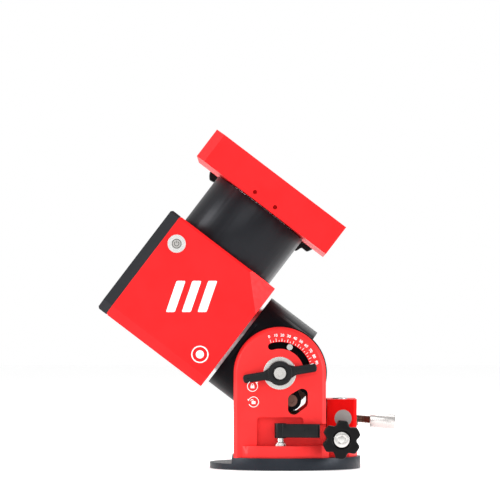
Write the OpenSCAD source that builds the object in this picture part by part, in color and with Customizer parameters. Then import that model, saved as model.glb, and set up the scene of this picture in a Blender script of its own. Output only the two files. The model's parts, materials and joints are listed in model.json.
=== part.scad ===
// Equatorial mount head with strain-wave drives, for star tracking.
// Origin: centre of the base plate's underside. +Z up, +X away from the pole, -Y the dial side.

/* [Setting] */
// Latitude that the head is set to, in degrees
latitude = 37.3; // [20:1:60]

/* [Base] */
// Radius of the base plate
base_r = 64; // [62:1:75]
// Thickness of the base plate
base_t = 10; // [9:1:12]
// Top of the lowered segment on the pole side
low_t = 5; // [4:1:6]

/* [Fork] */
// Radius of the arms' arch about the altitude axis
arch_r = 38.5; // [38:0.5:40]
// Outer face of each arm, from the middle plane
arm_out = 50; // [49:0.5:52]
// Height of the altitude axis above the base's underside
pivot_z = 80.7; // [79:0.5:84]

/* [Drive box] */
// Length of the box along the right-ascension axis, with its end plate
box_len = 108.3; // [106:0.5:112]
// Depth of the box across the mount
box_depth = 102; // [98:1:106]
// Height of the box across the right-ascension axis
box_h = 102.5; // [99:0.5:104]

/* [Saddle] */
// Length of the saddle
saddle_len = 135; // [125:1:140]
// Width of the saddle over both jaws
saddle_w = 116; // [114:1:120]

/* [Hidden] */
$fn = 96;

fit = 0.04;                 // running clearance on a radius
pivot_x = -4.9;             // altitude axis
arm_in = 40.4;              // inner face of each arm
cheek_y = 40;               // half width of the housing between the arms
low_x = -45;                // edge of the lowered segment
foot_top = 20;
foot_r = 61.6;
foot_left = -43.4;
spigot_r = 20;
spigot_top = 16.6;
tripod_r = 3.97;            // 3/8-16 thread, minor radius
m6_tap_r = 2.5;
tripod_pcd = 60;
post_x = 46;                // azimuth post and azimuth screws
post_r = 5;
screw_z = 26;
azimuth_turn = 6;           // degrees each way
pad_t = 4;
stud_x = -4.3;              // azimuth clamping studs
stud_y = 51;
stud_r = 2.5;
block_x = [35, 60];
block_y = 30;
block_top = 58.5;
trunnion_x = 48.4;
trunnion_z = 42.5;
trunnion_r = 7.2;
screw_tilt = 4.5;
worm_end = -57.5;           // inner end of the altitude screw, from the trunnion
thread_r = 3.3;
tip_pin = 40.5;             // the folding tip's pin, from the trunnion
shaft_r = 6;                // altitude shaft
sector_r = 30.1;
sector_teeth = 106;
slot_r = 23.2;              // dial slot
slot_w = 5.8;
dial_zero = -16.5;          // degrees from straight up, at latitude 0
wing_tilt = 9.4;
ra_lift = 1.9;              // right-ascension axis above the altitude axis
drum_r = 44.5;              // right-ascension housing
drum_front = -43.3;
drum_back = 5.3;
tail_r = 39.5;
bore_r = 36.5;              // drive bore in each housing
drive_len = 37.3;           // depth of the drive bore
neck_r = 33.5;
ra_floor = -6;              // closed end of the right-ascension drive bore
box_back = -45.9;           // box face beside the fork
box_front = box_back - box_len;
plate_t = 9;                // end plate
box_low = -48.7;
box_high = box_low + box_h;
wall = 5;
dec_u = -97.2;              // declination axis
dec_top = 101.3;
dec_drum_r = 44.75;
saddle_low = 102;
saddle_high = 129.8;
wide_floor = 120;
narrow_floor = 113.5;
clamp_u = 41;               // clamp screws, each side of the declination axis
clamp_n = 108;
belt_gap = 0.35;
big_pulley_r = 19.1;
small_pulley_r = 6.4;
motor_size = 42.3;
motor_len = 40;
ra_motor_at = [-61, -24, -21];      // front face, in the head's frame
dec_motor_at = [-119, 22, 34.45];
button_at = [-133.7, 33.7];

// ---- frames ----

module in_head() { translate([pivot_x, 0, pivot_z]) rotate([0, latitude, 0]) children(); }
module along_x() { rotate([0, 90, 0]) children(); }
module near_side() { rotate([90, 0, 0]) children(); }
module both_sides() { children(); mirror([0, 1, 0]) children(); }
module in_screw() { translate([trunnion_x, 0, trunnion_z]) rotate([0, screw_tilt, 0]) children(); }
// drive frame: z = 0 at the closed end of the drive bore, +z towards the output
module in_ra_drive() { in_head() translate([ra_floor, 0, ra_lift]) rotate([0, -90, 0]) children(); }
module in_dec_drive() { in_head() translate([dec_u, 0, dec_top - drive_len]) children(); }

// ---- shared shapes ----

module ring(outer, inner, h) {
    difference() {
        cylinder(r = outer, h = h);
        translate([0, 0, -1]) cylinder(r = inner, h = h + 2);
    }
}

module star_grip(r, h, lobes = 6) {
    difference() {
        cylinder(r = r, h = h);
        for (i = [0:lobes - 1]) rotate(i * 360 / lobes + 56)
            translate([r + 2.6, 0, -1]) cylinder(r = 5.4, h = h + 2);
    }
}

// star knob whose socket-head screw is a separate solid inside it; z = 0 at the boss's face
module star_knob(r, h, boss_h, screw_r, screw_in, head_r = 6.5) {
    difference() {
        union() {
            cylinder(r = r * 0.56, h = boss_h + 1);
            translate([0, 0, boss_h]) star_grip(r, h);
        }
        translate([0, 0, -1]) cylinder(r = screw_r + 0.02, h = boss_h + h + 2);
        translate([0, 0, boss_h + h - 7]) cylinder(r = head_r + 0.9, h = 8);
    }
    translate([0, 0, -screw_in]) cylinder(r = screw_r, h = screw_in + boss_h + h - 7 + 0.04);
    translate([0, 0, boss_h + h - 6.98]) difference() {
        cylinder(r = head_r, h = 6.6);
        translate([0, 0, 3]) cylinder(r = head_r * 0.54, h = 5, $fn = 6);
    }
}

module cap_screw(shank_r, length, head_r, head_h) {
    translate([0, 0, -length]) cylinder(r = shank_r, h = length);
    difference() {
        cylinder(r = head_r, h = head_h);
        translate([0, 0, head_h * 0.45]) cylinder(r = head_r * 0.54, h = head_h, $fn = 6);
    }
}

module thread(r, depth, pitch, length) {
    turns = floor(length / pitch);
    rotate_extrude() polygon(concat([[0, 0]],
        [for (i = [0:turns - 1]) each [[r - depth, i * pitch], [r, (i + 0.5) * pitch]]],
        [[r - depth, turns * pitch], [r - depth, length], [0, length]]));
}

module block(low, high) { translate(low) cube([for (i = [0:2]) high[i] - low[i]]); }

// ---- base ----

module base_plate() {
    stud_ring = norm([stud_x, stud_y]);
    stud_turn = atan(-stud_x / stud_y);
    color("#343a44") difference() {
        union() {
            difference() {
                cylinder(r = base_r, h = base_t);
                block([-base_r - 1, -base_r, low_t], [low_x, base_r, base_t + 1]);
            }
            cylinder(r = spigot_r, h = spigot_top);
        }
        translate([0, 0, -1]) cylinder(r = tripod_r, h = spigot_top + 2);
        for (a = [0, 120, 240]) rotate(a) translate([tripod_pcd / 2, 0, -1]) cylinder(r = m6_tap_r, h = 9);
        for (a = [45:90:315]) rotate(a) translate([13, 0, 9]) cylinder(r = 2.05, h = 9);
        stud_slots(stud_ring, stud_turn);
        translate([post_x, 0, 3]) cylinder(r = post_r + 0.02, h = base_t);
    }
}

// a through slot for the stud and a wider recess below it for the stud's head, front and back
module stud_slots(ring_r, turn) {
    half = azimuth_turn + 1.2;
    for (side = [1, -1]) rotate(side * (90 + turn)) for (a = [[stud_r + 0.5, -1, base_t + 1], [6.3, -1, 5.2]])
        translate([0, 0, a[1]]) {
            rotate(-half) rotate_extrude(angle = 2 * half)
                translate([ring_r - a[0], 0]) square([2 * a[0], a[2] - a[1]]);
            for (e = [-half, half]) rotate(e) translate([ring_r, 0, 0]) cylinder(r = a[0], h = a[2] - a[1]);
        }
}

module azimuth_post() {
    color("silver") translate([post_x, 0, 3]) cylinder(r = post_r, h = screw_z + 5 - 3);
}

module azimuth_retainer() {
    color("#9aa0a6") difference() {
        translate([0, 0, spigot_top]) cylinder(r = 24.5, h = 3);
        translate([0, 0, spigot_top - 1]) cylinder(r = tripod_r + 0.5, h = 5);
        for (a = [45:90:315]) rotate(a) translate([13, 0, 0]) {
            cylinder(r = 2.1, h = 30);
            translate([0, 0, spigot_top + 1]) cylinder(r = 3.8, h = 5);
        }
    }
}

module retainer_screws() {
    color("silver") for (a = [45:90:315]) rotate(a) translate([13, 0, spigot_top + 1.02])
        cap_screw(2, 7.5, 3.6, 1.9);
}

// ---- fork ----

// one arm, as an arch above and a leg below, its outer edge chamfered; y = 0 at its inner face
module arm_solid() {
    t = arm_out - arm_in;
    edge = 3;
    leg = pivot_z - base_t;
    rotate([90, 0, 0]) {
        cylinder(r = arch_r, h = t - edge);
        translate([0, 0, t - edge]) cylinder(r1 = arch_r, r2 = arch_r - edge, h = edge);
    }
    translate([0, 0, -leg]) linear_extrude(leg)
        polygon([[-arch_r, 0], [arch_r, 0], [arch_r, edge - t], [arch_r - edge, -t],
            [edge - arch_r, -t], [-arch_r, edge - t]]);
}

module dial_slot() {
    near_side() rotate(90 - dial_zero - 91) {
        rotate_extrude(angle = 92) translate([slot_r - slot_w / 2, 0]) square([slot_w, 30]);
        for (a = [0, 92]) rotate(a) translate([slot_r, 0, 0]) cylinder(r = slot_w / 2 - 0.06, h = 30);
    }
}

// rounded-corner pocket, cut from the outer face of an arm
module lever_pocket() {
    deep = 6.4;
    near_side() translate([0, 0, arm_out - deep]) linear_extrude(deep + 20) {
        translate([-24, foot_top]) square([38.7, 21]);
        translate([-21, foot_top]) square([32.7, 24]);
        for (x = [-21, 11.7]) translate([x, foot_top + 21]) circle(r = 3);
        translate([0, foot_top]) square([60, 18.6]);
    }
}

// a parallelogram with round corners
module slanted_window() {
    r = 4.8;
    corners = [[-3.45, 1.9], [-3.45, -6.2], [3.45, -1], [3.45, 6]];
    function side(i) = let (d = corners[(i + 1) % 4] - corners[i % 4]) [d[1], -d[0]] / norm(d);
    near_side() translate([10.2, 57, arm_in - 1]) linear_extrude(30) {
        polygon([for (i = [0:3], k = [3, 4]) corners[i] + r * side(i + k)]);
        for (c = corners) translate(c) circle(r = r);
    }
}

module fork_frame() {
    color("#d8222a") difference() {
        union() {
            translate([0, 0, base_t]) linear_extrude(foot_top - base_t) intersection() {
                circle(r = foot_r);
                polygon([[foot_left, -64], [22, -64], [36, -46], [36, -31], [61, -31],
                    [61, 31], [36, 31], [36, 46], [22, 64], [foot_left, 64]]);
            }
            both_sides() translate([pivot_x, -arm_in, pivot_z]) arm_solid();
            block([26, -arm_in - 1, foot_top - 1], [33.6, arm_in + 1, 36]);
        }
        translate([0, 0, base_t - 1]) cylinder(r = spigot_r + fit, h = 20);
        translate([0, 0, spigot_top - 0.06]) cylinder(r = 25, h = 20);
        translate([post_x, 0, 0]) block([-6.2, -11, 0], [6.2, 11, 30]);
        both_sides() {
            lever_pocket();
            slanted_window();
            translate([stud_x, -stud_y, 0]) cylinder(r = stud_r + 0.02, h = 30);
        }
        translate([pivot_x, 60, pivot_z]) near_side() cylinder(r = shaft_r + fit, h = 120);
        translate([pivot_x, -arm_in + 5, pivot_z]) dial_slot();
    }
}

module rear_block() {
    color("#d8222a") difference() {
        union() {
            block([block_x[0], -block_y, foot_top], [block_x[1] - 4, block_y, block_top]);
            block([block_x[0], 4 - block_y, foot_top], [block_x[1], block_y - 4, block_top]);
            for (y = [4 - block_y, block_y - 4]) translate([block_x[1] - 4, y, foot_top])
                cylinder(r = 4, h = block_top - foot_top);
        }
        translate([trunnion_x, 40, trunnion_z]) near_side() cylinder(r = trunnion_r + 0.02, h = 80);
        in_screw() along_x() translate([0, 0, -30]) cylinder(r = 4.9, h = 60);
        block([38, -15, foot_top - 1], [54, 15, 33]);
        translate([post_x, 40, screw_z]) near_side() cylinder(r = 4 + fit, h = 80);
        translate([trunnion_x - 2, -14, 37.5]) along_x() cylinder(r = 1.6, h = 30);
        translate([46.5, -8, block_top - 3]) cylinder(r = 6.32, h = 5);
    }
}

module altitude_trunnion() {
    color("#b9bbbd") difference() {
        translate([trunnion_x, block_y, trunnion_z]) near_side() cylinder(r = trunnion_r, h = 2 * block_y);
        in_screw() along_x() translate([0, 0, -20]) cylinder(r = thread_r + fit, h = 40);
    }
}

module trunnion_set_screw() {
    reach = sqrt(pow(trunnion_r, 2) - pow(trunnion_z - 37.5, 2));
    color("#1c1c1e") translate([trunnion_x + reach + 1.1, -14, 37.5]) along_x()
        cylinder(r = 1.58, h = 61.3 - trunnion_x - reach - 1.1);
}

module bullseye_level() {
    color("#b8d84a") translate([46.5, -8, block_top - 3]) {
        difference() {
            cylinder(r = 6.3, h = 3.8);
            translate([0, 0, 3]) cylinder(r = 5.2, h = 2);
        }
        translate([0, 0, 3.02]) cylinder(r = 5.1, h = 0.6);
    }
}

module azimuth_studs() {
    color("silver") both_sides() translate([stud_x, -stud_y, 1]) {
        cylinder(r = stud_r, h = 34);
        cylinder(r = 5.5, h = 4, $fn = 6);
    }
}

module wing_washers() {
    color("silver") both_sides() translate([pivot_x, -arm_out, pivot_z]) near_side() ring(13.7, 3.2, 1.4);
}

// ---- azimuth adjustment ----

module azimuth_pad() {
    color("#b5893c") translate([post_x, -post_r - 0.05, screw_z]) near_side() cylinder(r = 4.5, h = pad_t);
}
module azimuth_pad_near() { azimuth_pad(); }
module azimuth_pad_far() { mirror([0, 1, 0]) azimuth_pad(); }

module azimuth_knob() {
    color("#242426") translate([post_x, -59, screw_z]) near_side()
        star_knob(16, 14, 2, 4, 59 - post_r - pad_t - 0.07);
}
module azimuth_knob_near() { azimuth_knob(); }
module azimuth_knob_far() { mirror([0, 1, 0]) azimuth_knob(); }

module azimuth_lever() {
    translate([stud_x, -stud_y, 0]) {
        color("#2b2d30") translate([0, 0, 27]) rotate(-17) difference() {
            union() {
                cylinder(r = 5, h = 12);
                block([0, -4.6, 0], [34.4, 0.4, 12]);
            }
            translate([0, 0, -1]) cylinder(r = stud_r + 0.42, h = 14);
        }
        color("silver") translate([0, 0, foot_top + 0.05]) {
            ring(5.1, stud_r + fit, 2);
            translate([0, 0, 2]) ring(4.3, stud_r + fit, 1.2);
            ring(stud_r + 0.4, stud_r + fit, 18);
        }
    }
}
module azimuth_lever_near() { azimuth_lever(); }
module azimuth_lever_far() { mirror([0, 1, 0]) azimuth_lever(); }

// ---- altitude locks and adjuster ----

module wing_lever() {
    color("#27292b") translate([pivot_x, -arm_out - 1.45, pivot_z]) near_side() rotate(wing_tilt) difference() {
        union() {
            cylinder(r = 10.2, h = 10.5);
            translate([0, 0, 3]) {
                block([-27.7, -3.6, 0], [27.7, 3.6, 6]);
                for (x = [-27.7, 27.7]) translate([x, 0, 0]) cylinder(r = 3.6, h = 6);
            }
        }
        translate([0, 0, -1]) cylinder(r = 3.06, h = 20);
        translate([0, 0, 7]) cylinder(r = 5.7, h = 5);
    }
}
module wing_lever_near() { wing_lever(); }
module wing_lever_far() { mirror([0, 1, 0]) wing_lever(); }

module wing_bolt() {
    color("silver") translate([pivot_x, -arm_out - 1.45 - 7.02, pivot_z]) near_side() cap_screw(3, 24, 5, 5);
}
module wing_bolt_near() { wing_bolt(); }
module wing_bolt_far() { mirror([0, 1, 0]) wing_bolt(); }

module altitude_screw() {
    color("#3a3532") in_screw() along_x() {
        translate([0, 0, worm_end]) thread(thread_r, 0.55, 1.25, 26);
        translate([0, 0, worm_end + 26]) cylinder(r = 2.75, h = 14);
        translate([0, 0, -18]) cylinder(r = thread_r, h = 26.5);
        for (z = [-trunnion_r - 3.4, trunnion_r + 0.4]) translate([0, 0, z]) cylinder(r = 4.4, h = 3);
        translate([0, 0, 8.4]) thread(thread_r, 0.5, 1.25, 15.4);
        translate([0, 0, 23.8]) cylinder(r = 2.6, h = 8);
    }
}

// the handle's hub, slotted for the tip's tongue; the slot's inner end is round about the tip's pin
module altitude_handle() {
    color("#d5d6d8") in_screw() along_x() difference() {
        translate([0, 0, 23.85]) cylinder(r = 6.6, h = 21.15);
        translate([0, 0, 22]) cylinder(r = 2.62, h = 10);
        translate([0, 2.6, tip_pin]) rotate([90, 0, 0]) cylinder(r = 6.5, h = 5.2);
        translate([-8, -2.6, tip_pin]) cube([16, 5.2, 12]);
        translate([0, 10, tip_pin]) rotate([90, 0, 0]) cylinder(r = 1.22, h = 20);
    }
    color("#7a7c80") in_screw() along_x() translate([0, 6.2, tip_pin]) rotate([90, 0, 0])
        cylinder(r = 1.2, h = 12.4);
}

module altitude_handle_tip() {
    color("#d5d6d8") in_screw() along_x() difference() {
        union() {
            translate([0, 2.3, tip_pin]) rotate([90, 0, 0]) cylinder(r = 4.2, h = 4.6);
            translate([-4.2, -2.3, tip_pin]) cube([8.4, 4.6, 4.5]);
        }
        translate([0, 10, tip_pin]) rotate([90, 0, 0]) cylinder(r = 1.2 + fit, h = 20);
    }
}

// ---- right-ascension housing, which tilts with the latitude ----

module tail_profile() {
    intersection() {
        circle(r = tail_r);
        translate([-30, -1]) square([80, 60]);
    }
    circle(r = 15);
    translate([-14, -15]) square([14, 20]);
}

module ra_housing() {
    color("#2a2c31") in_head() difference() {
        union() {
            translate([drum_front, 0, ra_lift]) along_x() cylinder(r = drum_r, h = drum_back - drum_front);
            translate([0, cheek_y, 0]) near_side() linear_extrude(2 * cheek_y) tail_profile();
            both_sides() translate([0, -5, 0]) near_side() linear_extrude(cheek_y - 5) {
                rotate(-30) translate([0, -8]) square([25.2, 16]);
                rotate(-29.7) translate([25.2, 0]) circle(r = 8);
            }
        }
        for (s = [-1, 1]) translate([-39.5, s * (cheek_y + 10), 0]) block([0, -10, -60], [60, 10, 60]);
        translate([drum_front - 1, 0, ra_lift]) along_x() cylinder(r = bore_r, h = ra_floor - drum_front + 1);
        translate([0, 60, 0]) near_side() cylinder(r = shaft_r + 0.02, h = 120);
        // groove for the altitude sector and its screw
        translate([0, 5.02, 0]) near_side() linear_extrude(10.04) intersection() {
            difference() {
                circle(r = 75);
                circle(r = 10.5);
            }
            polygon([[0, 0], [-10, -75], [0, -80], [80, -80], [80, 60], [34, 60]]);
        }
        for (s = [-1, 1]) rotate([0, 29.7, 0]) translate([25.2, s * 20, 0]) {
            rotate([90, 0, 0]) translate([0, 0, -40]) cylinder(r = 3.02, h = 80);
            rotate([s * 90, 0, 0]) mirror([0, 0, 1]) translate([0, 0, 13]) cylinder(r = 5.4, h = 12);
        }
        near_side() rotate(90 - dial_zero) translate([slot_r, 0, 31]) cylinder(r = 2.02, h = 30);
    }
}

module altitude_shaft() {
    color("silver") translate([pivot_x, arm_out - 0.4, pivot_z]) near_side() difference() {
        cylinder(r = shaft_r, h = 2 * arm_out - 0.8);
        for (z = [-1, 2 * arm_out - 25]) translate([0, 0, z]) cylinder(r = 3.05, h = 25.5);
    }
}

module altitude_sector() {
    color("#a5713f") in_head() translate([0, 5, 0]) near_side() linear_extrude(10) difference() {
        intersection() {
            circle(r = sector_r);
            polygon([[0, 0], [-9, -75], [0, -80], [80, -80], [80, 25]]);
        }
        circle(r = 10.6);
        rotate(-29.7) translate([25.2, 0]) circle(r = 3.02);
        for (i = [0:33]) rotate(-97.5 + i * 360 / sector_teeth)
            translate([sector_r + 0.25, 0]) rotate(180) circle(r = 0.9, $fn = 3);
    }
}

module sector_screws() {
    color("#8a6244") in_head() rotate([0, 29.7, 0]) translate([25.2, 0, 0])
        both_sides() translate([0, -33.02, 0]) near_side() cap_screw(3, 32.9, 5, 5.5);
}

module dial_pointer() {
    color("silver") in_head() near_side() rotate(90 - dial_zero) translate([slot_r, 0, arm_out - 1.2]) {
        cylinder(r = 2.5, h = 2);
        translate([0, 0, 31.5 - arm_out + 1.2]) cylinder(r = 2, h = arm_out - 32.5);
    }
}

// ---- strain-wave drive, in the drive frame ----

module circular_spline() {
    color("#8e9196") translate([0, 0, 1]) difference() {
        cylinder(r = bore_r - 0.05, h = 8.5);
        translate([0, 0, -1]) cylinder(r = 22.9, h = 11);
        for (a = [0:45:315]) rotate(a) translate([30, 0, -1]) cylinder(r = 1.7, h = 11);
    }
}

module main_bearing() {
    color("#c3c6ca") translate([0, 0, 24]) difference() {
        cylinder(r = bore_r - 0.05, h = 11);
        translate([0, 0, -1]) cylinder(r = 29, h = 13);
        translate([0, 0, 5.5]) rotate_extrude() translate([28.6, 0]) circle(r = 2.4);
    }
}

module output_flange(face, through_r) {
    color("#9ea2a8") difference() {
        union() {
            translate([0, 0, 36.3]) cylinder(r = neck_r, h = face - 36.3);
            translate([0, 0, 23]) cylinder(r = 28.6, h = 13.4);
        }
        translate([0, 0, 22]) cylinder(r = through_r, h = 30);
        for (a = [0:60:300]) rotate(a) translate([17, 0, face - 9]) cylinder(r = 2.1, h = 10);
    }
}

module flexspline() {
    color("#b4b0a6") difference() {
        union() {
            translate([0, 0, 1.5]) cylinder(r = 22.5, h = 6.5);
            translate([0, 0, 8]) cylinder(r = 22, h = 14.95);
        }
        translate([0, 0, 0]) cylinder(r = 21.3, h = 21);
        translate([0, 0, 19]) cylinder(r = 7, h = 5);
    }
}

module wave_generator() {
    color("#7f8388") translate([0, 0, 2]) {
        ring(20.9, 18.1, 6);
        difference() {
            cylinder(r = 18.05, h = 5.6);
            translate([0, 0, -1]) cylinder(r = 4.02, h = 8);
            for (a = [0:90:270]) rotate(a) translate([11, 0, -1]) cylinder(r = 3.6, h = 8);
        }
    }
}

// shaft with its large belt pulley between z0 and z0 + 8
module input_shaft(low, high, pulley) {
    color("#c9ccd0") {
        translate([0, 0, low]) cylinder(r = 4, h = high - low);
        translate([0, 0, pulley]) cylinder(r = big_pulley_r, h = 8);
        for (z = [pulley, pulley + 7]) translate([0, 0, z]) cylinder(r = big_pulley_r + 1.6, h = 1);
    }
}

module stepper_body() {
    color("#26272a") difference() {
        translate([-motor_size / 2, -motor_size / 2, -motor_len]) cube([motor_size, motor_size, motor_len]);
        translate([0, 0, -motor_len - 1]) cylinder(r = 2.6, h = motor_len + 2);
        for (a = [45:90:315]) rotate(a) translate([motor_size * 0.72, 0, -motor_len - 1])
            rotate(45) cylinder(r = 3, h = motor_len + 2, $fn = 4);
    }
}

module motor_rotor(pulley) {
    color("#d0d2d5") {
        translate([0, 0, 0.5 - motor_len]) cylinder(r = 2.5, h = motor_len + pulley + 8);
        translate([0, 0, pulley]) cylinder(r = small_pulley_r, h = 8);
    }
}

module belt(from, to, z0) {
    span = norm(to - from);
    turn = atan2(to[1] - from[1], to[0] - from[0]);
    inner = [big_pulley_r + belt_gap, small_pulley_r + belt_gap];
    color("#1b1b1b") translate([from[0], from[1], z0]) rotate(turn) difference() {
        belt_loop(inner[0] + 1.2, inner[1] + 1.2, span, 5.4);
        translate([0, 0, -1]) belt_loop(inner[0], inner[1], span, 8);
    }
}

// the outline round two pulleys of radius a and b that stand span apart
module belt_loop(a, b, span, h) {
    lean = acos((a - b) / span);
    cylinder(r = a, h = h);
    translate([span, 0, 0]) cylinder(r = b, h = h);
    linear_extrude(h) polygon([
        [a * cos(lean), a * sin(lean)], [span + b * cos(lean), b * sin(lean)],
        [span + b * cos(lean), -b * sin(lean)], [a * cos(lean), -a * sin(lean)]]);
}

module on_ra_motor() { in_head() translate(ra_motor_at) along_x() children(); }
module on_dec_motor() { in_head() translate(dec_motor_at) children(); }

module ra_circular_spline() { in_ra_drive() circular_spline(); }
module ra_main_bearing() { in_ra_drive() main_bearing(); }
module ra_output_flange() { in_ra_drive() output_flange(ra_floor - box_back, 8); }
module ra_flexspline() { in_ra_drive() flexspline(); }
module ra_wave_generator() { in_ra_drive() wave_generator(); }
module ra_input_shaft() { in_ra_drive() input_shaft(1, 54, 46); }
module ra_motor_rotor() { on_ra_motor() motor_rotor(1); }
module stepper_motors() {
    on_ra_motor() stepper_body();
    on_dec_motor() stepper_body();
}
module dec_circular_spline() { in_dec_drive() circular_spline(); }
module dec_main_bearing() { in_dec_drive() main_bearing(); }
module dec_output_flange() { in_dec_drive() output_flange(saddle_low - dec_top + drive_len, 12); }
module dec_flexspline() { in_dec_drive() flexspline(); }
module dec_wave_generator() { in_dec_drive() wave_generator(); }
module dec_input_shaft() { in_dec_drive() input_shaft(-27, 9, -26); }
module dec_motor_rotor() { on_dec_motor() motor_rotor(4); }

module shaft_bearings() {
    color("#c3c6ca") {
        in_ra_drive() translate([0, 0, 28]) ring(7.97, 4 + fit, 7);
        in_dec_drive() translate([0, 0, -10]) ring(8.97, 4 + fit, 7);
    }
}

// plate on each motor's face, with posts to the box's wall
module motor_bracket(posts, reach) {
    difference() {
        union() {
            translate([-21, -21, 0.02]) cube([42, 42, 0.9]);
            for (p = posts) translate([p[0], p[1], 0.9]) cylinder(r = 2.4, h = reach - 0.9);
        }
        translate([0, 0, -1]) cylinder(r = 9, h = 4);
    }
}
module motor_brackets() {
    color("#8b8f94") {
        on_ra_motor() motor_bracket([[-18, -18], [18, -18]], box_back - wall - 0.1 - ra_motor_at[0]);
        on_dec_motor() motor_bracket([[-18, -18], [-18, 8]], box_high - wall - 0.1 - dec_motor_at[2]);
    }
}

module drive_belts() {
    in_head() {
        translate([-58.7, 0, 0]) rotate([0, 90, 0])
            belt([-ra_lift, 0], [-ra_motor_at[2], ra_motor_at[1]], 0);
        belt([dec_u, 0], [dec_motor_at[0], dec_motor_at[1]], 39.3);
    }
}

// ---- drive box ----

// outer form of the box, its edges chamfered on the near and far faces
module box_form(u0, u1) {
    half = box_depth / 2;
    foot_cut = 8.7;
    difference() {
        translate([0, half, 0]) near_side() linear_extrude(2 * half)
            polygon([[u0, box_low + 1.5], [u0, box_high - 1.5], [u0 + 1.5, box_high], [u1, box_high],
                [u1, box_low], [u0 + 1.5, box_low]]);
        both_sides() {
            // long bevel along the lower edge, and a slight one along the upper edge
            translate([u0 - 1, 0, 0]) along_x() linear_extrude(u1 - u0 + 2) {
                polygon([[-box_low - foot_cut, -half - 1], [-box_low - foot_cut, -half],
                    [-box_low, 6 - half], [1 - box_low, 6 - half], [1 - box_low, -half - 1]]);
                polygon([[2 - box_high, -half - 1], [2 - box_high, -half], [-box_high, 1.6 - half],
                    [-1 - box_high, 1.6 - half], [-1 - box_high, -half - 1]]);
            }
        }
        // triangular facet at the corner beside the fork
        both_sides() corner_facet(half, 27, 13);
    }
}

// cuts the corner by a plane that meets the three edges at reach, reach and back from it
module corner_facet(half, reach, back) {
    normal = [1 / reach, -1 / back, 1 / reach];
    size = norm(normal);
    translate([box_back, -half, box_high])
        rotate([0, acos(normal[2] / size), atan2(normal[1], normal[0])])
            translate([-60, -60, -1 / size]) cube([120, 120, 60]);
}

module box_shell() {
    inner = box_depth / 2 - wall;
    color("#d8222a") in_head() difference() {
        box_form(box_front + plate_t, box_back);
        block([box_front - 1, -inner, box_low + wall], [box_back - wall, inner, box_high - wall - 12]);
        block([box_front - 1, 12 - inner, box_low + wall], [box_back - wall, inner - 12, box_high - wall]);
        translate([box_back - 20, 0, ra_lift]) along_x() cylinder(r = 9, h = 30);
        translate([dec_u, 0, box_high - 20]) cylinder(r = 9, h = 30);
        translate([dec_u, 0, box_low - 1]) cylinder(r = 5.1, h = wall + 2);
        translate([button_at[0], -10, button_at[1]]) near_side() cylinder(r = 6.02, h = 60);
        end_plate_holes() cylinder(r = 1.65, h = 20);
    }
}

module end_plate_holes() {
    for (y = [-43, 43], n = [box_low + 9, box_high - 9]) translate([box_front + plate_t - 2, y, n])
        along_x() children();
}

ports = [[-20, 8, 6], [-20, -14, 5], [12, -14, 6.6]];    // y, n and half size of each socket

module end_plate() {
    color("#26272b") in_head() difference() {
        box_form(box_front, box_front + plate_t - 0.02);
        for (p = ports) translate([box_front - 1, p[0] - p[2], p[1] - p[2]])
            cube([plate_t + 2, 2 * p[2], 2 * p[2]]);
        for (y = [-43, 43], n = [box_low + 9, box_high - 9]) translate([box_front - 1, y, n]) along_x() {
            cylinder(r = 2.1, h = 20);
            cylinder(r = 3.9, h = 4.5);
        }
        block([box_front + 4, -40, box_low + 12], [box_front + plate_t + 1, 40, -30]);
    }
}

module end_plate_screws() {
    color("silver") in_head() for (y = [-43, 43], n = [box_low + 9, box_high - 9])
        translate([box_front + 3.48, y, n]) rotate([0, -90, 0]) cap_screw(1.6, 16, 3.6, 3);
}

module port_sockets() {
    color("#18181a") in_head() for (p = ports) translate([box_front + 1, p[0], p[1]]) along_x() difference() {
        translate([0.05 - p[2], 0.05 - p[2], 0]) cube([2 * p[2] - 0.1, 2 * p[2] - 0.1, 15]);
        translate([0, 0, -1]) cylinder(r = p[2] * 0.72, h = 12);
    }
}

module control_boards() {
    color("#1f5a3a") in_head() {
        block([-132, 5, -40], [-62, 45, -38.4]);
        block([-138, -44, -30], [-136.4, -4, 14]);
    }
}

module power_button_bezel() {
    color("#c8cacc") in_head() translate([button_at[0], -box_depth / 2, button_at[1]]) near_side()
        difference() {
            union() {
                translate([0, 0, 0.02]) cylinder(r = 7.55, h = 1.6);
                translate([0, 0, -16]) cylinder(r = 6, h = 16.1);
            }
            translate([0, 0, -13]) cylinder(r = 4.06, h = 20);
        }
}

module power_button_cap() {
    color("#3a3b3e") in_head() translate([button_at[0], -box_depth / 2, button_at[1]]) near_side()
        translate([0, 0, -5]) cylinder(r = 4, h = 6.9);
}

module power_button_spring() {
    color("silver") in_head() translate([button_at[0], -box_depth / 2, button_at[1]]) near_side()
        translate([0, 0, -12.9]) ring(3, 2.2, 6.6);
}

// ---- declination housing and saddle ----

module dec_housing() {
    color("#2a2c31") in_head() translate([dec_u, 0, 0]) difference() {
        translate([0, 0, box_high]) cylinder(r = dec_drum_r, h = dec_top - box_high);
        translate([0, 0, dec_top - drive_len]) cylinder(r = bore_r, h = drive_len + 1);
        translate([0, 0, box_high - 1]) cylinder(r = 9, h = 30);
    }
}

module saddle_body() {
    half = saddle_w / 2;
    cut = 8;
    color("#d8222a") in_head() translate([dec_u, 0, 0]) difference() {
        translate([-saddle_len / 2, 0, 0]) along_x() linear_extrude(saddle_len) polygon([
            [-saddle_low, -half], [-saddle_low, 50], [-narrow_floor, 50], [-narrow_floor, -22],
            [-wide_floor, -20.3], [-wide_floor, -38.3], [-saddle_high, -35.6], [-saddle_high, -half]]);
        translate([-saddle_len / 2, -half, 90]) rotate(-45) translate([-30, -30, 0])
            cube([60, 30 + cut / sqrt(2), 60]);
        for (u = [-10.4, 10.4]) translate([u, -half + 8, saddle_low + 5.2]) near_side()
            cylinder(r = 1.8, h = 20);
        for (u = [-clamp_u, clamp_u]) translate([u, 60, clamp_n]) near_side() cylinder(r = 4 + fit, h = 40);
    }
}

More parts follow.
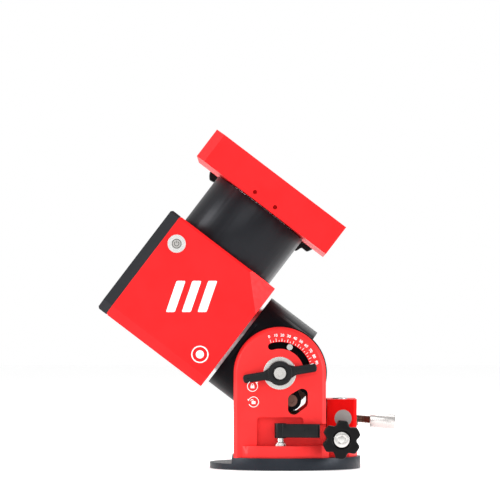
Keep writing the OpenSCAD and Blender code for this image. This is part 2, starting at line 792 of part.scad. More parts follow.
module saddle_jaw() {
    half = saddle_w / 2;
    long = saddle_len - 4;
    color("#d8222a") in_head() translate([dec_u - long / 2 + 2, 0, 0]) difference() {
        along_x() linear_extrude(long) polygon([
            [-narrow_floor - 0.1, 22], [-wide_floor, 20.3], [-wide_floor, 38.3],
            [-saddle_high, 35.6], [-saddle_high, half], [-saddle_low - 3.5, half],
            [-saddle_low - 3.5, 53.5], [-narrow_floor - 0.1, 53.5]]);
        for (u = [-clamp_u, clamp_u]) translate([long / 2 - 2 + u, 80, clamp_n]) near_side()
            cylinder(r = 4 + fit, h = 40);
    }
}

module clamp_knob(u) {
    color("#242426") in_head() translate([dec_u + u, saddle_w / 2 + 0.02, clamp_n]) rotate([-90, 0, 0])
        star_knob(16, 13, 8, 4, 30);
}
module clamp_knob_left() { clamp_knob(-clamp_u); }
module clamp_knob_right() { clamp_knob(clamp_u); }

base_plate();
azimuth_post();
azimuth_retainer();
retainer_screws();
fork_frame();
rear_block();
altitude_trunnion();
trunnion_set_screw();
bullseye_level();
azimuth_studs();
wing_washers();
azimuth_pad_near();
azimuth_pad_far();
azimuth_knob_near();
azimuth_knob_far();
azimuth_lever_near();
azimuth_lever_far();
wing_lever_near();
wing_lever_far();
wing_bolt_near();
wing_bolt_far();
altitude_screw();
altitude_handle();
altitude_handle_tip();
ra_housing();
altitude_shaft();
altitude_sector();
sector_screws();
dial_pointer();
ra_circular_spline();
ra_main_bearing();
box_shell();
end_plate();
end_plate_screws();
ra_output_flange();
ra_flexspline();
shaft_bearings();
stepper_motors();
motor_brackets();
drive_belts();
dec_housing();
dec_circular_spline();
dec_main_bearing();
control_boards();
port_sockets();
power_button_bezel();
power_button_cap();
power_button_spring();
ra_wave_generator();
ra_input_shaft();
ra_motor_rotor();
dec_wave_generator();
dec_input_shaft();
dec_motor_rotor();
saddle_body();
dec_output_flange();
dec_flexspline();
saddle_jaw();
clamp_knob_left();
clamp_knob_right();
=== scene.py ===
"""Looks for the equatorial mount head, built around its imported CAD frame."""

import json
import math

import bmesh
import bpy
from mathutils import Matrix, Vector


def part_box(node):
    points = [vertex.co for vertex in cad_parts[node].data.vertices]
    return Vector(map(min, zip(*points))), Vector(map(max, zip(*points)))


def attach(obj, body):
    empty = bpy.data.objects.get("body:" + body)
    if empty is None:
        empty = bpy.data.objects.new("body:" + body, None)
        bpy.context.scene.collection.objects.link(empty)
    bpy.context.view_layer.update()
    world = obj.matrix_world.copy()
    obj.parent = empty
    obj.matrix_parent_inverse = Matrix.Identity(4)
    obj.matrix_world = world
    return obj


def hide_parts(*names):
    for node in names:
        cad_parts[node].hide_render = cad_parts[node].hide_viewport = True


MM = 0.001

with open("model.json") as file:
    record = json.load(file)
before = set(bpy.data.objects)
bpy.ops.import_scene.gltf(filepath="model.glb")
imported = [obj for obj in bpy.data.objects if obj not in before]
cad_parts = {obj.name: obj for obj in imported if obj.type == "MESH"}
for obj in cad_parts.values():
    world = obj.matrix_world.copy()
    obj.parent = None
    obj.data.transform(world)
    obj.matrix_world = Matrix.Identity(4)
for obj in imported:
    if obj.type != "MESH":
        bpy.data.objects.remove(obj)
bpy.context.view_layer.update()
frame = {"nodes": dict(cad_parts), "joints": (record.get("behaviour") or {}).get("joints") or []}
nodes = frame["nodes"]
joints = {j["name"]: j for j in frame["joints"]}

X, Y, Z = Vector((1, 0, 0)), Vector((0, 1, 0)), Vector((0, 0, 1))
PIVOT = Vector(joints["altitude"]["pos_m"])
U = Vector(joints["ra_axis"]["axis"]).normalized()
N = Vector(joints["dec_axis"]["axis"]).normalized()
ARM_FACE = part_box("fork_frame")[0].y            # near face of the near arm
BOX_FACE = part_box("box_shell")[0].y
DIAL_ZERO_DEG = 106.5                           # where the dial's 0 stands, from +X
UNMOVED = Matrix.Identity(4)


# ---- frames and shapes ----

def frame_at(origin, x_dir, z_dir):
    """A frame in millimetres at origin, with the given x and z directions."""
    x, z = x_dir.normalized(), z_dir.normalized()
    y = z.cross(x)
    turn = Matrix((x, y, z)).transposed().to_4x4()
    return Matrix.Translation(origin) @ turn @ Matrix.Scale(MM, 4)


def up(height):
    return Matrix.Translation((0, 0, height))


def on_box_face(u, n):
    """A frame on the drive box's near face, level with the ground at rest, u along the polar axis."""
    point = PIVOT + (U * u + N * n) * MM
    point.y = BOX_FACE
    return frame_at(point, X, -Y)


def polar(radius, degrees):
    return radius * math.cos(math.radians(degrees)), radius * math.sin(math.radians(degrees))


def circle(radius, count=48, start=0, sweep=360):
    """Points on a circle, or on the part of it that starts at an angle and sweeps on."""
    steps = count if sweep == 360 else count + 1
    return [polar(radius, start + sweep * i / count) for i in range(steps)]


def arc_band(radius, width, start, sweep, count=32):
    outer = circle(radius + width / 2, count, start, sweep)
    inner = circle(radius - width / 2, count, start, sweep)
    return outer + inner[::-1]


def rectangle(x0, y0, x1, y1):
    return [(x0, y0), (x1, y0), (x1, y1), (x0, y1)]


def rounded(loop, radius, steps=5):
    """The loop with each corner replaced by an arc of about that radius."""
    out = []
    count = len(loop)
    for i, corner in enumerate(loop):
        corner = Vector(corner)
        before = Vector(loop[i - 1]) - corner
        after = Vector(loop[(i + 1) % count]) - corner
        reach = min(radius, before.length * 0.45, after.length * 0.45)
        start = corner + before.normalized() * reach
        end = corner + after.normalized() * reach
        for k in range(steps + 1):
            t = k / steps
            point = start * (1 - t) ** 2 + corner * 2 * t * (1 - t) + end * t * t
            out.append((point.x, point.y))
    return out


def moved(loop, dx=0, dy=0, turn=0):
    """The loop turned by some degrees about the origin, then shifted."""
    c, s = polar(1, turn)
    return [(dx + x * c - y * s, dy + x * s + y * c) for x, y in loop]


def mirrored(loop, x_sign, y_sign):
    return [(x * x_sign, y * y_sign) for x, y in loop][::-1]


def curve_mesh(curve):
    """The mesh that a curve makes; the curve itself is dropped."""
    holder = bpy.data.objects.new("holder", curve)
    bpy.context.scene.collection.objects.link(holder)
    bpy.context.view_layer.update()
    depsgraph = bpy.context.evaluated_depsgraph_get()
    mesh = bpy.data.meshes.new_from_object(holder.evaluated_get(depsgraph))
    bpy.data.objects.remove(holder)
    bpy.data.curves.remove(curve)
    return mesh


def prism_mesh(loops, low, high, edge=0):
    """Loops filled by the even-odd rule between two heights, their edges rounded, in millimetres."""
    curve = bpy.data.curves.new("prism", "CURVE")
    curve.dimensions = "2D"
    curve.fill_mode = "BOTH"
    curve.extrude = (high - low) / 2 - edge
    curve.bevel_depth = edge
    curve.bevel_resolution = 3
    curve.offset = -edge
    for loop in loops:
        spline = curve.splines.new("POLY")
        spline.points.add(len(loop) - 1)
        for point, (x, y) in zip(spline.points, loop):
            point.co = (x, y, 0, 1)
        spline.use_cyclic_u = True
    mesh = curve_mesh(curve)
    mesh.transform(Matrix.Translation((0, 0, (low + high) / 2)))
    return mesh


def lathe_mesh(profile, count=64):
    """A solid turned about z from (radius, height) points, which start and end on the axis or close."""
    bm = bmesh.new()
    rings = []
    for radius, height in profile:
        if radius < 1e-6:
            rings.append([bm.verts.new((0, 0, height))])
            continue
        rings.append([bm.verts.new((x, y, height)) for x, y in circle(radius, count)])
    for low, high in zip(rings, rings[1:]):
        for i in range(count):
            k = (i + 1) % count
            if len(low) == 1:
                bm.faces.new((low[0], high[i], high[k]))
            elif len(high) == 1:
                bm.faces.new((low[i], low[k], high[0]))
            else:
                bm.faces.new((low[i], low[k], high[k], high[i]))
    bmesh.ops.recalc_face_normals(bm, faces=bm.faces)
    mesh = bpy.data.meshes.new("lathe")
    bm.to_mesh(mesh)
    bm.free()
    return mesh


def text_mesh(text, height, thickness):
    curve = bpy.data.curves.new("digits", "FONT")
    curve.body = text
    curve.size = height * 1.4
    curve.align_x = "CENTER"
    curve.align_y = "CENTER"
    curve.extrude = thickness / 2
    curve.offset = 0.04
    return curve_mesh(curve)


def piece(name, parts, place, body, material, smooth_deg=35):
    """One object from (mesh, matrix in millimetres) parts, riding on a body."""
    bm = bmesh.new()
    for mesh, local in parts:
        mesh.transform(place @ local)
        bm.from_mesh(mesh)
        bpy.data.meshes.remove(mesh)
    bmesh.ops.remove_doubles(bm, verts=bm.verts, dist=1e-7)
    bmesh.ops.recalc_face_normals(bm, faces=bm.faces)
    mesh = bpy.data.meshes.new(name)
    bm.to_mesh(mesh)
    bm.free()
    mesh.shade_smooth()
    mesh.set_sharp_from_angle(angle=math.radians(smooth_deg))
    obj = bpy.data.objects.new(name, mesh)
    bpy.context.scene.collection.objects.link(obj)
    mesh.materials.append(material)
    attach(obj, body)
    return obj


# ---- materials ----

class Look:
    """A material under construction: object coordinates in, one Principled shader out."""

    def __init__(self, name, colour, metallic, roughness, **sockets):
        self.material = bpy.data.materials.new(name)
        self.material.use_nodes = True
        self.tree = self.material.node_tree
        self.shader = self.tree.nodes["Principled BSDF"]
        self.colour = colour
        self.rough = roughness
        self.set("Base Color", (*colour, 1))
        self.set("Metallic", metallic)
        self.set("Roughness", roughness)
        for socket, value in sockets.items():
            self.set(socket.replace("_", " "), value)
        self.coords = self.tree.nodes.new("ShaderNodeTexCoord").outputs["Object"]
        self.normal = None

    def set(self, socket, value):
        self.shader.inputs[socket].default_value = value

    def noise(self, scale, detail=2, vector=None):
        node = self.tree.nodes.new("ShaderNodeTexNoise")
        node.inputs["Scale"].default_value = scale
        node.inputs["Detail"].default_value = detail
        self.tree.links.new(vector or self.coords, node.inputs["Vector"])
        return node.outputs["Fac"]

    def along(self, axis):
        """A vector whose x is the distance along an axis."""
        node = self.tree.nodes.new("ShaderNodeVectorMath")
        node.operation = "DOT_PRODUCT"
        node.inputs[1].default_value = axis
        self.tree.links.new(self.coords, node.inputs[0])
        combine = self.tree.nodes.new("ShaderNodeCombineXYZ")
        self.tree.links.new(node.outputs["Value"], combine.inputs["X"])
        return combine.outputs["Vector"]

    def remap(self, value, low, high):
        node = self.tree.nodes.new("ShaderNodeMapRange")
        node.inputs["From Min"].default_value = 0.3
        node.inputs["From Max"].default_value = 0.7
        node.inputs["To Min"].default_value = low
        node.inputs["To Max"].default_value = high
        self.tree.links.new(value, node.inputs["Value"])
        return node.outputs["Result"]

    def vary_roughness(self, value, spread):
        self.tree.links.new(self.remap(value, self.rough - spread, self.rough + spread),
                            self.shader.inputs["Roughness"])

    def vary_colour(self, value, darker, lighter):
        ramp = self.tree.nodes.new("ShaderNodeValToRGB")
        ramp.color_ramp.elements[0].position = 0.35
        ramp.color_ramp.elements[1].position = 0.65
        ramp.color_ramp.elements[0].color = (*[c * darker for c in self.colour], 1)
        ramp.color_ramp.elements[1].color = (*[min(1, c * lighter) for c in self.colour], 1)
        self.tree.links.new(value, ramp.inputs["Fac"])
        self.tree.links.new(ramp.outputs["Color"], self.shader.inputs["Base Color"])

    def bump(self, value, depth, strength=1):
        node = self.tree.nodes.new("ShaderNodeBump")
        node.inputs["Strength"].default_value = strength
        node.inputs["Distance"].default_value = depth
        self.tree.links.new(value, node.inputs["Height"])
        if self.normal:
            self.tree.links.new(self.normal, node.inputs["Normal"])
        self.normal = node.outputs["Normal"]
        self.tree.links.new(self.normal, self.shader.inputs["Normal"])


def anodised(name, colour, roughness=0.42, metallic=0.45, specular=0.3):
    """Bead-blasted and anodised aluminium: a fine matte grain with faint cloudiness."""
    look = Look(name, colour, metallic, roughness, Specular_IOR_Level=specular)
    look.vary_colour(look.noise(45, 3), 0.93, 1.06)
    look.vary_roughness(look.noise(300, 3), 0.05)
    look.bump(look.noise(2600, 2), 0.00004, 0.5)
    return look.material


def turned(name, colour, axis, roughness=0.3, metallic=0.9, depth=0.00003, specular=0.5):
    """Metal turned on a lathe about an axis, with its fine feed lines."""
    look = Look(name, colour, metallic, roughness, Specular_IOR_Level=specular)
    lines = look.noise(2200, 2, look.along(axis))
    look.vary_roughness(lines, 0.07)
    look.bump(lines, depth, 0.6)
    look.vary_colour(look.noise(60, 3), 0.93, 1.05)
    return look.material


def plastic(name, colour, roughness=0.5, grain=0.00005, scale=1500, specular=0.14):
    """Moulded plastic or a powder coat, with a fine pebbled grain."""
    look = Look(name, colour, 0, roughness, Specular_IOR_Level=specular)
    look.vary_colour(look.noise(80, 3), 0.85, 1.15)
    look.vary_roughness(look.noise(400, 2), 0.06)
    look.bump(look.noise(scale, 3), grain, 0.6)
    return look.material


red = anodised("red_anodised_look", (0.80, 0.017, 0.019), 0.40, 0.35, 0.25)
# painted light: the fork gets a lighter, pinker copy of the same red anodising, standing in for the sheen
# of light on it
fork_lit_red = anodised("fork_lit_red_look", (0.80, 0.034, 0.034), 0.40, 0.35, 0.25)
# painted shade: the rear block gets a darker copy of the same red anodising, standing in for the shade that
# falls on it
block_shaded_red = anodised("block_shaded_red_look", (0.66, 0.004, 0.004), 0.40, 0.35, 0.1)
for look in (red, fork_lit_red, block_shaded_red):
    look.node_tree.nodes["Principled BSDF"].inputs["Specular Tint"].default_value = (1, 0.4, 0.4, 1)
base_grey = anodised("base_anodised_look", (0.015, 0.019, 0.026), 0.38, 0.3, 0.2)
black_box = anodised("end_plate_look", (0.016, 0.017, 0.02), 0.42, 0.3, 0.25)
# painted shade: the right-ascension housing gets a darker, duller copy of the black anodising, standing in
# for the shade on it
ra_shaded_black = turned("ra_drum_shaded_look", (0.005, 0.0055, 0.007), U, 0.4, 0.25, 0.000006, 0.03)
dec_black = turned("dec_drum_look", (0.010, 0.011, 0.014), N, 0.34, 0.35, 0.000006, 0.22)
steel_y = turned("turned_steel_look", (0.60, 0.59, 0.57), Y, 0.24, 1)
steel_z = turned("stud_steel_look", (0.66, 0.65, 0.63), Z, 0.22, 1)
steel_u = turned("drive_steel_look", (0.6, 0.6, 0.6), U, 0.28, 1)
steel_n = turned("drive_steel_n_look", (0.6, 0.6, 0.6), N, 0.28, 1)
handle_steel = turned("handle_steel_look", (0.72, 0.69, 0.67), X, 0.28, 1, 0.00002)
trunnion_steel = turned("trunnion_look", (0.30, 0.27, 0.26), Y, 0.36, 0.9)
screw_steel = turned("black_steel_look", (0.15, 0.135, 0.10), X, 0.3, 0.9)
# painted shade: the sector and its screws, deep inside the arm, get a dark brown metal that stands in for
# the shade on them
shade_darkened_brown = turned("shade_darkened_brown_look", (0.14, 0.075, 0.06), Y, 0.36, 0.9)
brass = turned("brass_look", (0.62, 0.42, 0.16), Y, 0.3, 1)
plain = anodised("plain_aluminium_look", (0.55, 0.56, 0.58), 0.35, 0.95)
knob_black = plastic("knob_plastic_look", (0.002, 0.002, 0.0024), 0.38, 0.00007, 1100)
lever_black = plastic("lever_coat_look", (0.009, 0.0095, 0.0105), 0.32, 0.00005, 1600)
motor_black = plastic("motor_look", (0.02, 0.02, 0.022), 0.4)
rubber = plastic("belt_look", (0.012, 0.012, 0.012), 0.75)
board = plastic("board_look", (0.015, 0.11, 0.05), 0.3, 0.00003, 700)
socket_black = plastic("socket_look", (0.012, 0.012, 0.013), 0.45)
button_grey = turned("button_look", (0.42, 0.41, 0.39), Y, 0.3, 0.9)
bezel_bright = turned("bezel_look", (0.86, 0.85, 0.83), Y, 0.22, 1)
dark_ink = plastic("dark_ink_look", (0.03, 0.03, 0.03), 0.4, 0.00001)
white_ink = plastic("white_ink_look", (0.86, 0.85, 0.84), 0.5, 0.00001)

vial = Look("vial_look", (0.55, 0.80, 0.10), 0, 0.06, Transmission_Weight=0.55, IOR=1.49)
vial.vary_colour(vial.noise(90, 2), 0.9, 1.1)
vial_green = vial.material

LOOKS = {
    "base_plate": base_grey, "azimuth_post": steel_z, "azimuth_retainer": plain, "retainer_screws": steel_z,
    "fork_frame": fork_lit_red, "rear_block": block_shaded_red, "altitude_trunnion": trunnion_steel,
    "trunnion_set_screw": screw_steel, "bullseye_level": vial_green, "azimuth_studs": steel_z,
    "wing_washers": steel_y, "azimuth_pad_near": brass, "azimuth_pad_far": brass,
    "azimuth_knob_near": knob_black, "azimuth_knob_far": knob_black,
    "azimuth_lever_near": lever_black, "azimuth_lever_far": lever_black,
    "wing_lever_near": lever_black, "wing_lever_far": lever_black,
    "wing_bolt_near": steel_y, "wing_bolt_far": steel_y,
    "altitude_screw": screw_steel, "altitude_handle": handle_steel, "altitude_handle_tip": handle_steel,
    "ra_housing": ra_shaded_black, "altitude_shaft": steel_y, "altitude_sector": shade_darkened_brown, "sector_screws": shade_darkened_brown,
    "dial_pointer": steel_y, "ra_circular_spline": steel_u, "ra_main_bearing": steel_u,
    "box_shell": red, "end_plate": black_box, "end_plate_screws": steel_u, "ra_output_flange": plain,
    "ra_flexspline": steel_u, "shaft_bearings": steel_u, "stepper_motors": motor_black,
    "motor_brackets": plain, "drive_belts": rubber, "dec_housing": dec_black,
    "dec_circular_spline": steel_n, "dec_main_bearing": steel_n, "control_boards": board,
    "port_sockets": socket_black, "power_button_bezel": bezel_bright, "power_button_cap": button_grey,
    "power_button_spring": steel_y, "ra_wave_generator": steel_u, "ra_input_shaft": steel_u,
    "ra_motor_rotor": steel_u, "dec_wave_generator": steel_n, "dec_input_shaft": steel_n,
    "dec_motor_rotor": steel_n, "saddle_body": red, "dec_output_flange": plain, "dec_flexspline": steel_n,
    "saddle_jaw": red, "clamp_knob_left": knob_black, "clamp_knob_right": knob_black,
}

# width of the rounded edge on machined pieces, in millimetres
EDGES = {
    "base_plate": 0.6, "fork_frame": 0.9, "rear_block": 0.6, "ra_housing": 0.6, "box_shell": 0.5,
    "end_plate": 0.6, "dec_housing": 0.5, "saddle_body": 0.7, "saddle_jaw": 0.7, "wing_washers": 0.3,
    "altitude_handle": 0.35, "altitude_handle_tip": 0.35, "wing_bolt_near": 0.3, "wing_bolt_far": 0.3,
    "power_button_bezel": 0.25, "power_button_cap": 0.3, "dial_pointer": 0.25,
}

for node, look in LOOKS.items():
    data = nodes[node].data
    data.materials.clear()
    data.materials.append(look)

for node, width in EDGES.items():
    weld = nodes[node].modifiers.new("weld", "WELD")
    weld.merge_threshold = 1e-6
    bevel = nodes[node].modifiers.new("edge", "BEVEL")
    bevel.width = width * MM
    bevel.segments = 3
    bevel.limit_method = "ANGLE"
    bevel.angle_limit = math.radians(38)
    bevel.harden_normals = True
    bevel.use_clamp_overlap = True


# ---- star knobs ----

GRIP_R = 16             # over the lobes
BOSS_R = 8.96
GRIP_RECESS_R = 7.4     # recess that the screw's head sits in
GRIP_RECESS_DEEP = 7
SCREW_HEAD_R = 6.5      # M8 socket-head screw
SCREW_HEAD_H = 6.6
THREAD_PITCH = 1.25
THREAD_ROOT_R = 3.45
THREAD_CREST_R = 3.98


def star_outline(lobes=6, lobe_at=26, bite=3.6):
    """A lobed grip: round scallops between broad lobes, blended by a smooth wave."""
    out = []
    count = lobes * 24
    for i in range(count):
        angle = 360 * i / count
        wave = math.cos(lobes * math.radians(angle - lobe_at))
        dip = max(0, (0.35 - wave) / 1.35) ** 1.3
        out.append(polar(GRIP_R - bite * dip, angle))
    return out


def socket_screw(head_r, head_h):
    """A socket-cap head with a rounded rim, standing on its seat at z = 0."""
    socket_floor = head_h * 0.45
    hexagon = circle(head_r * 0.54, 6, start=20)
    head = prism_mesh([circle(head_r, 64), hexagon], socket_floor, head_h, 0.35)
    body = prism_mesh([circle(head_r, 64)], 0, socket_floor + 0.2, 0.1)
    return [(head, UNMOVED), (body, UNMOVED)]


def star_knob(node, body, place, outline, boss, grip, shank_length):
    """A knob's grip, its screw's head and its shank; z = 0 is the boss's face."""
    top = boss + grip
    seat = top - GRIP_RECESS_DEEP
    boss_profile = [(0, 0), (8.6, 0), (BOSS_R, 0.4), (BOSS_R, boss + 1), (0, boss + 1)]
    parts = [
        (prism_mesh([outline, circle(GRIP_RECESS_R, 64)], boss + 1, top, 1.5), UNMOVED),
        (prism_mesh([outline], boss, seat, 1.2), UNMOVED),
        (lathe_mesh(boss_profile), UNMOVED),
    ]
    grip_piece = piece(node + ".grip", parts, place, body, knob_black)
    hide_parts(node)
    head = socket_screw(SCREW_HEAD_R, SCREW_HEAD_H)
    piece(node + ".screw", head, place @ up(seat), body, steel_y)
    profile = [(0, -shank_length)]
    for i in range(int(shank_length / THREAD_PITCH)):
        root = -shank_length + THREAD_PITCH * i
        profile += [(THREAD_ROOT_R, root), (THREAD_CREST_R, root + THREAD_PITCH / 2)]
    profile += [(THREAD_ROOT_R, -0.2), (THREAD_ROOT_R, 0.2), (0, 0.2)]
    piece(node + ".shank", [(lathe_mesh(profile, 40), UNMOVED)], place, body, steel_y)


AZIMUTH_KNOB_FACE = 59      # each boss's face, from the middle plane
CLAMP_KNOB_FACE = 58.02

for side, sign in (("near", -1), ("far", 1)):
    name = f"azimuth_knob_{side}"
    pos = Vector(joints[name + "_spin"]["pos_m"])
    face = Vector((pos.x, sign * AZIMUTH_KNOB_FACE * MM, pos.z))
    outline = star_outline() if side == "near" else mirrored(star_outline(), -1, 1)
    place = frame_at(face, X * -sign, Y * sign)
    star_knob(name, name, place, outline, boss=2, grip=14, shank_length=49.8)

for side in ("left", "right"):
    name = f"clamp_knob_{side}"
    pos = Vector(joints[f"clamp_{side}_spin"]["pos_m"])
    face = Vector((pos.x, CLAMP_KNOB_FACE * MM, pos.z))
    place = frame_at(face, U * -1, Y)
    star_knob(name, f"clamp_{side}", place, star_outline(), boss=8, grip=13, shank_length=29.9)


# ---- wing levers that lock the altitude ----

WING_TILT_DEG = 9.4
WING_HUB_R = 10.2
WING_GAP = 0.05             # between the hub and the washer


def wing_outline():
    """A round hub with two straight wings, blended by fillets."""
    half_width = 3.6
    reach = 31.0
    root = WING_HUB_R + 2.6
    blend_deg = 36          # half the angle of the hub that each wing takes up
    steps = 6
    wing = [polar(WING_HUB_R, -blend_deg), (root, -half_width), (reach, -half_width),
            (reach, half_width), (root, half_width), polar(WING_HUB_R, blend_deg)]
    between = rounded(wing, 3.0, steps)[steps + 1:-steps - 1]
    ends = [wing[0]] + between + [wing[-1]]
    out = []
    for turn in (0, 180):
        out += moved(ends, turn=turn)
        out += circle(WING_HUB_R, 18, start=turn + blend_deg + 4, sweep=172 - 2 * blend_deg)
    return out


for side, sign in (("near", -1), ("far", 1)):
    name = f"wing_lever_{side}"
    washer_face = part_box("wing_washers")[0].y * -sign
    seat = Vector((PIVOT.x, washer_face, PIVOT.z)) + Y * sign * WING_GAP * MM
    place = frame_at(seat, X * -sign, Y * sign)
    wings = moved(wing_outline(), turn=-sign * WING_TILT_DEG)
    parts = [
        (prism_mesh([wings], 3, 9, 1.4), UNMOVED),
        (prism_mesh([circle(WING_HUB_R, 64), circle(5.7, 48)], 2, 10.5, 1.0), UNMOVED),
        (prism_mesh([circle(WING_HUB_R - 0.2, 64), circle(3.1, 48)], 0.02, 6.9, 0.3), UNMOVED),
    ]
    lever = piece(name + ".body", parts, place, f"wing_{side}", lever_black)
    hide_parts(name)


# ---- azimuth lock levers ----

BLADE_TURN_DEG = -17        # how far the blade leans in from the side of the fork

# steel insert, as (radius, height) from the sleeve's foot round to its top
INSERT = [(2.55, 20.05), (5.1, 20.05), (5.1, 21.7), (4.8, 22.05), (4.3, 22.05), (4.3, 22.8),
          (3.9, 23.2), (2.9, 23.3), (2.9, 37.6), (2.55, 37.6), (2.55, 20.05)]


def blade_outline():
    """Plan view of the lever's blade: it leaves the hub, dips in and flares to its end."""
    upper = [(2, 0.6), (8, -0.5), (16, -1.2), (25, -0.9), (34.4, 0.4)]
    lower = [(34.4, -4.2), (25, -4.6), (16, -4.7), (8, -4.8), (2, -4.6)]
    return rounded(upper + lower, 1.6, 4)


for side, sign in (("near", -1), ("far", 1)):
    name = f"azimuth_lever_{side}"
    pos = Vector(joints[name + "_swing"]["pos_m"])
    place = frame_at(Vector((pos.x, pos.y, 0)), X, Z)
    blade = moved(blade_outline(), turn=BLADE_TURN_DEG)
    if side == "far":
        blade = mirrored(blade, 1, -1)
    parts = [
        (prism_mesh([circle(5, 48), circle(2.95, 40)], 26.6, 39, 0.4), UNMOVED),
        (lathe_mesh([(0, 38.1), (3.4, 38.1), (3.4, 38.7), (0, 38.9)], 40), UNMOVED),
        (prism_mesh([blade], 27.2, 38.6, 0.8), UNMOVED),
    ]
    lever = piece(name + ".body", parts, place, name, lever_black)
    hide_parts(name)
    piece(name + ".insert", [(lathe_mesh(INSERT, 48), UNMOVED)], place, name, steel_z)


# ---- bullseye level ----

low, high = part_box("bullseye_level")
centre = Vector(((low.x + high.x) / 2, (low.y + high.y) / 2, low.z))
place = frame_at(centre, X, Z)
cup = [(0, 0), (6.3, 0), (6.3, 3.3), (6.0, 3.8), (5.35, 3.8), (5.25, 3.4), (5.25, 2.2), (0, 2.2)]
cup_parts = [(lathe_mesh(cup), UNMOVED)]
cup_piece = piece("bullseye_level.cup", cup_parts, place, "fork", plain)
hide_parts("bullseye_level")
dome = [(0, 2.22), (5.2, 2.22), (5.2, 3.3), (4.6, 3.65), (3, 3.85), (0, 3.95)]
dome_parts = [(lathe_mesh(dome), UNMOVED)]
piece("bullseye_level.vial", dome_parts, place, "fork", vial_green)
ring_parts = [(prism_mesh([circle(2.1, 40), circle(1.75, 40)], 3.84, 3.98), UNMOVED)]
piece("bullseye_level.ring", ring_parts, place, "fork", knob_black)


# ---- printed marks ----

INK = 0.05                  # thickness of the print
TICK_FROM = 26.4            # radii on the dial
LONG_TICK_TO = 29.0
SHORT_TICK_TO = 27.6
NUMBERS_AT = 31.6
LOCK_RING_R = 4.2


def printed(*loops):
    """One flat shape of ink, as a part of a piece."""
    return prism_mesh(list(loops), 0, INK), UNMOVED


def marks(name, parts, place, body, ink=white_ink):
    piece(name, parts, place, body, ink)


dial = frame_at(Vector((PIVOT.x, ARM_FACE, PIVOT.z)), X, -Y)
parts = []
for degree in range(0, 91, 5):
    angle = DIAL_ZERO_DEG - degree
    numbered = degree % 10 == 0
    tick_to = LONG_TICK_TO if numbered else SHORT_TICK_TO
    parts.append(printed(moved(rectangle(TICK_FROM, -0.17, tick_to, 0.17), turn=angle)))
    if numbered:
        turn = Matrix.Rotation(math.radians(angle - 90), 4, "Z")
        number_at = turn @ Matrix.Translation((0, NUMBERS_AT, INK / 2))
        parts.append((text_mesh(str(degree), 2.3, INK), number_at))
marks("dial_marks", parts, dial, "fork")


def padlock(is_open):
    """The outlines of a padlock: its body, its shackle's arch and its two legs."""
    body = rounded(rectangle(-1.55, -1.7, 1.55, 0.6), 0.3, 3)
    shift = -1.3 if is_open else 0
    shackle = moved(arc_band(0.95, 0.42, 0, 180, 16), shift, 1.1)
    left_leg = rectangle(shift - 1.16, 0.9 if is_open else 0.5, shift - 0.74, 1.12)
    right_leg = rectangle(shift + 0.74, 0.5, shift + 1.16, 1.12)
    return [body, shackle, left_leg, right_leg]


# each mark: name, place on the arm, open or shut, the ring's start and sweep, the arrow's place and turn
LOCK_MARKS = [
    ("lock_mark", (-22.8, -10.7), False, (120, 290), (40, -60)),
    ("unlock_mark", (-21.9, -23.7), True, (-155, 300), (158, 60)),
]
ARROW = [(-0.9, -0.2), (0.9, -0.2), (0, 1.5)]

for name, at, is_open, (start, sweep), (arrow_at, arrow_turn) in LOCK_MARKS:
    ring = arc_band(LOCK_RING_R, 0.5, start, sweep, 40)
    arrow = moved(ARROW, *polar(LOCK_RING_R, arrow_at), turn=arrow_turn)
    parts = [(prism_mesh([shape], 0, INK), Matrix.Translation((*at, 0.002 * i)))
             for i, shape in enumerate(padlock(is_open) + [ring, arrow])]
    marks(name, parts, dial, "fork")

# plain graphic on the box: three slanted bars, and a ring round a dot below them
BAR = [(0, 0), (7.5, 0), (16.5, 26), (9, 26)]
BAR_SPACING = 13.2
parts = [printed(rounded(moved(BAR, -21 + i * BAR_SPACING, -13), 1.2, 3)) for i in range(3)]
marks("box_bars", parts, on_box_face(-97.6, 6.0), "drive_box")
parts = [printed(circle(7.2, 64), circle(6.2, 64)), printed(circle(3.4, 48))]
marks("box_badge", parts, on_box_face(-62.5, -27.9), "drive_box")

# power sign on the button
low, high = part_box("power_button_cap")
cap_at = Vector(((low.x + high.x) / 2, low.y, (low.z + high.z) / 2))
parts = [
    printed(arc_band(1.9, 0.5, 120, 300, 40)),
    printed(rectangle(-0.25, 0.5, 0.25, 2.6)),
    printed(circle(3.98, 48), circle(3.45, 48)),
]
marks("power_sign", parts, frame_at(cap_at, X, -Y), "power_button", dark_ink)


# ---- floor, light and camera ----

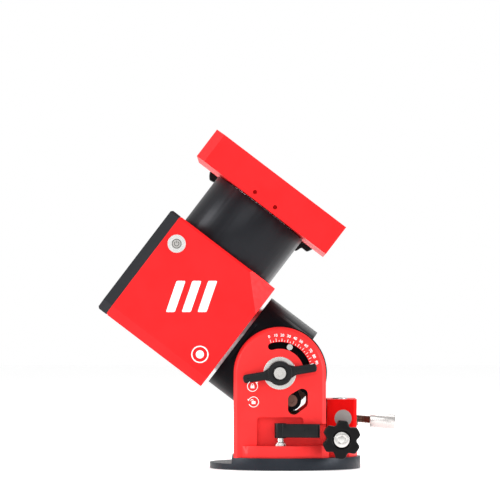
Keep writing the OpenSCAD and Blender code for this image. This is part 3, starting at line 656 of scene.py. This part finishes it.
bm = bmesh.new()
bmesh.ops.create_circle(bm, cap_ends=True, segments=96, radius=8)
floor_mesh = bpy.data.meshes.new("floor")
bm.to_mesh(floor_mesh)
bm.free()
floor = bpy.data.objects.new("floor", floor_mesh)
floor.location.z = -0.0005
bpy.context.scene.collection.objects.link(floor)
floor_look = Look("floor_look", (0.9, 0.9, 0.9), 0, 0.8,
                  Emission_Color=(1, 1, 1, 1), Emission_Strength=0.42)
floor_look.vary_roughness(floor_look.noise(3, 2), 0.05)
floor_mesh.materials.append(floor_look.material)

# the camera sees a white background, brighter than the one that lights the part
world = bpy.data.worlds.new("studio")
world.use_nodes = True
tree = world.node_tree
lit = tree.nodes["Background"]
lit.inputs["Color"].default_value = (1, 1, 1, 1)
lit.inputs["Strength"].default_value = 0.62
seen = tree.nodes.new("ShaderNodeBackground")
seen.inputs["Color"].default_value = (1, 1, 1, 1)
seen.inputs["Strength"].default_value = 1.0
mix = tree.nodes.new("ShaderNodeMixShader")
tree.links.new(tree.nodes.new("ShaderNodeLightPath").outputs["Is Camera Ray"], mix.inputs["Fac"])
tree.links.new(lit.outputs["Background"], mix.inputs[1])
tree.links.new(seen.outputs["Background"], mix.inputs[2])
tree.links.new(mix.outputs["Shader"], tree.nodes["World Output"].inputs["Surface"])
bpy.context.scene.world = world


def area_light(name, at, size, watts, target=(0, 0, 0.14)):
    light = bpy.data.lights.new(name, "AREA")
    light.shape = "RECTANGLE"
    light.size, light.size_y = size
    light.energy = watts
    obj = bpy.data.objects.new(name, light)
    obj.location = at
    obj.rotation_euler = (Vector(target) - Vector(at)).to_track_quat("-Z", "Y").to_euler()
    bpy.context.scene.collection.objects.link(obj)


area_light("left_box", (-1.9, -0.35, 0.85), (0.9, 1.4), 34)
area_light("right_box", (1.8, -0.65, 0.35), (0.8, 1.3), 30)
area_light("front_box", (-0.4, -2.2, 1.0), (1.5, 1.0), 12)
area_light("top_box", (0.0, 0.1, 1.9), (1.4, 1.2), 12)
area_light("back_box", (0.5, 1.6, 1.0), (1.2, 0.9), 10)

camera_data = bpy.data.cameras.new("camera")
camera_data.sensor_width = 36
camera_data.lens = 220.3
camera_data.shift_x = -0.004
camera_data.shift_y = 0.164
camera = bpy.data.objects.new("camera", camera_data)
camera.location = (-0.0281, -2.6, 0.115)
camera.rotation_euler = (math.radians(90), 0, 0)
bpy.context.scene.collection.objects.link(camera)
bpy.context.scene.camera = camera
bpy.context.scene.view_settings.view_transform = "Standard"
